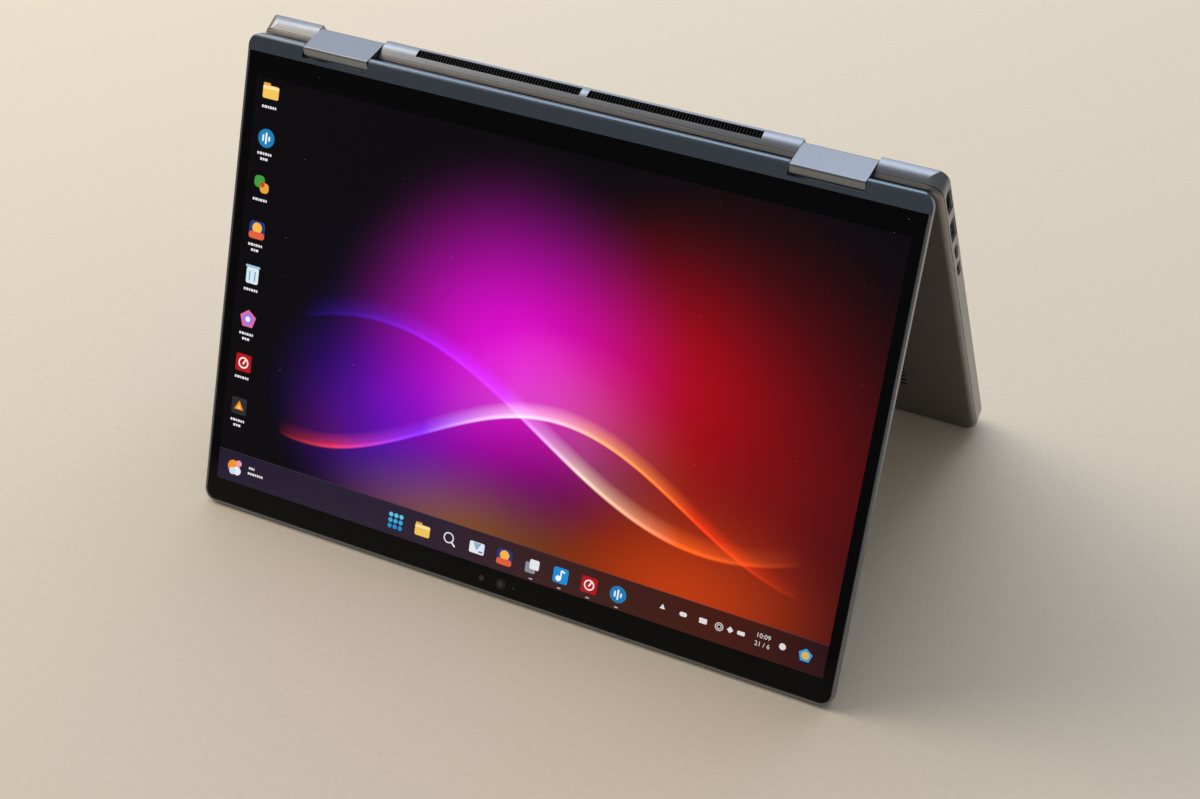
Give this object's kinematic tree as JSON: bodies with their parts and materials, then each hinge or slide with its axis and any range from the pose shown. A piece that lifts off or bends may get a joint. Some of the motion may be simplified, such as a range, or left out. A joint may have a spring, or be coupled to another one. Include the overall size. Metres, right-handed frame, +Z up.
{
  "type": "laptop computer",
  "caption": "Convertible laptop computer standing as a tent, its lid turned past flat on two double hinges, with keyboard, touchpad and sockets.",
  "frame": {"origin": "centre of the bounding box at the table, under the ridge of the tent", "axes": "+X along the hinge to the right as seen by someone facing the screen, +Y away from that person, +Z up; the screen faces -Y and up"},
  "size_m": [0.3136, 0.2001, 0.2006],
  "materials": {
    "anodised_case": "warm grey bead-blasted anodised aluminium",
    "anodised_bottom": "warm grey anodised aluminium",
    "hinge_strip_finish": "dark grey satin strip",
    "cover_glass": "glossy black-bordered cover glass",
    "black_plastic": "matt black moulded plastic",
    "keycap_plastic": "fine textured keycaps",
    "foot_rubber": "matt black rubber",
    "steel_parts": "plated steel",
    "circuit_board": "green solder mask",
    "battery_wrap": "black foil wrap",
    "copper_pipe": "copper",
    "display_stack": "display panel behind the glass"
  },
  "bodies": {
    "base": {"bottom_cover": "anodised_bottom", "top_case": "anodised_case", "rear_vent_grilles": "black_plastic", "rubber_feet": "foot_rubber", "bottom_screws": "steel_parts", "keyboard_frame": "black_plastic", "keyboard_backplate": "steel_parts", "mainboard": "circuit_board", "processor": "steel_parts", "battery": "battery_wrap", "heat_pipe": "copper_pipe", "heat_fins": "copper_pipe", "fan_housing_left": "black_plastic", "fan_housing_right": "black_plastic", "speaker_left": "black_plastic", "speaker_right": "black_plastic", "solid_state_drive": "circuit_board", "wireless_card": "steel_parts", "hdmi_socket": "steel_parts", "usb_a_socket_left": "steel_parts", "usb_c_sockets": "steel_parts", "usb_a_socket_right": "steel_parts", "headset_jack": "black_plastic", "base_hinge_bracket_left": "steel_parts", "base_hinge_bracket_right": "steel_parts", "touchpad_frame": "steel_parts"},
    "link_left": {"hinge_block_left": "anodised_case"},
    "link_right": {"hinge_block_right": "anodised_case"},
    "lid": {"lid_cover": "anodised_case", "hinge_strip": "hinge_strip_finish", "display_panel": "display_stack", "screen_glass": "cover_glass", "glass_gasket": "foot_rubber", "camera_module": "black_plastic", "lid_hinge_bracket_left": "steel_parts", "lid_hinge_bracket_right": "steel_parts"},
    "function_keys": {"function_keys": "keycap_plastic"},
    "power_key": {"power_key": "keycap_plastic"},
    "number_keys": {"number_keys": "keycap_plastic"},
    "upper_letter_keys": {"upper_letter_keys": "keycap_plastic"},
    "home_letter_keys": {"home_letter_keys": "keycap_plastic"},
    "lower_letter_keys": {"lower_letter_keys": "keycap_plastic"},
    "control_keys": {"control_keys": "keycap_plastic"},
    "space_bar": {"space_bar": "keycap_plastic"},
    "arrow_keys": {"arrow_keys": "keycap_plastic"},
    "camera_shutter": {"camera_shutter": "black_plastic"},
    "fan_rotor_left": {"fan_rotor_left": "black_plastic"},
    "fan_rotor_right": {"fan_rotor_right": "black_plastic"},
    "touchpad_plate": {"touchpad": "anodised_case"}
  },
  "joints": [
    {"name": "left_base_hinge", "type": "hinge", "parent": "base", "child": "link_left", "pos_m": [0, 0.0024, 0.19675], "axis": [1, 0, 0], "range_deg": [-155, 25]},
    {"name": "lid_hinge", "type": "hinge", "parent": "link_left", "child": "lid", "pos_m": [0, -0.0071, 0.19672], "axis": [1, 0, 0], "range_deg": [-155, 25]},
    {"name": "right_base_hinge", "type": "hinge", "parent": "base", "child": "link_right", "pos_m": [0, 0.0024, 0.19675], "axis": [1, 0, 0], "range_deg": [-155, 25]},
    {"name": "function_keys_press", "type": "slide", "parent": "base", "child": "function_keys", "axis": [0, -0.9049, -0.4255], "range_m": [0, 0.0013], "stiffness_N_per_m": 450, "springref_m": -0.0005},
    {"name": "power_key_press", "type": "slide", "parent": "base", "child": "power_key", "axis": [0, -0.9049, -0.4255], "range_m": [0, 0.0013], "stiffness_N_per_m": 450, "springref_m": -0.0005},
    {"name": "number_keys_press", "type": "slide", "parent": "base", "child": "number_keys", "axis": [0, -0.9049, -0.4255], "range_m": [0, 0.0013], "stiffness_N_per_m": 450, "springref_m": -0.0005},
    {"name": "upper_letter_keys_press", "type": "slide", "parent": "base", "child": "upper_letter_keys", "axis": [0, -0.9049, -0.4255], "range_m": [0, 0.0013], "stiffness_N_per_m": 450, "springref_m": -0.0005},
    {"name": "home_letter_keys_press", "type": "slide", "parent": "base", "child": "home_letter_keys", "axis": [0, -0.9049, -0.4255], "range_m": [0, 0.0013], "stiffness_N_per_m": 450, "springref_m": -0.0005},
    {"name": "lower_letter_keys_press", "type": "slide", "parent": "base", "child": "lower_letter_keys", "axis": [0, -0.9049, -0.4255], "range_m": [0, 0.0013], "stiffness_N_per_m": 450, "springref_m": -0.0005},
    {"name": "control_keys_press", "type": "slide", "parent": "base", "child": "control_keys", "axis": [0, -0.9049, -0.4255], "range_m": [0, 0.0013], "stiffness_N_per_m": 450, "springref_m": -0.0005},
    {"name": "space_bar_press", "type": "slide", "parent": "base", "child": "space_bar", "axis": [0, -0.9049, -0.4255], "range_m": [0, 0.0013], "stiffness_N_per_m": 450, "springref_m": -0.0005},
    {"name": "arrow_keys_press", "type": "slide", "parent": "base", "child": "arrow_keys", "axis": [0, -0.9049, -0.4255], "range_m": [0, 0.0013], "stiffness_N_per_m": 450, "springref_m": -0.0005},
    {"name": "touchpad_press", "type": "hinge", "parent": "base", "child": "touchpad_plate", "pos_m": [0, 0.06274, 0.07936], "axis": [-1, 0, 0], "range_deg": [0, 0.45], "stiffness_Nm_per_rad": 9, "springref_deg": -1},
    {"name": "camera_shutter_slide", "type": "slide", "parent": "lid", "child": "camera_shutter", "axis": [1, 0, 0], "range_m": [0, 0.0045]},
    {"name": "fan_left_spin", "type": "hinge", "parent": "base", "child": "fan_rotor_left", "pos_m": [0.05, 0.02112, 0.15693], "axis": [0, 0.9049, 0.4255], "continuous": true},
    {"name": "fan_right_spin", "type": "hinge", "parent": "base", "child": "fan_rotor_right", "pos_m": [-0.05, 0.02112, 0.15693], "axis": [0, 0.9049, 0.4255], "continuous": true}
  ],
  "couplings": [
    {"joint": "lid_hinge", "follows": "left_base_hinge", "ratio": 1},
    {"joint": "right_base_hinge", "follows": "left_base_hinge", "ratio": 1}
  ]
}
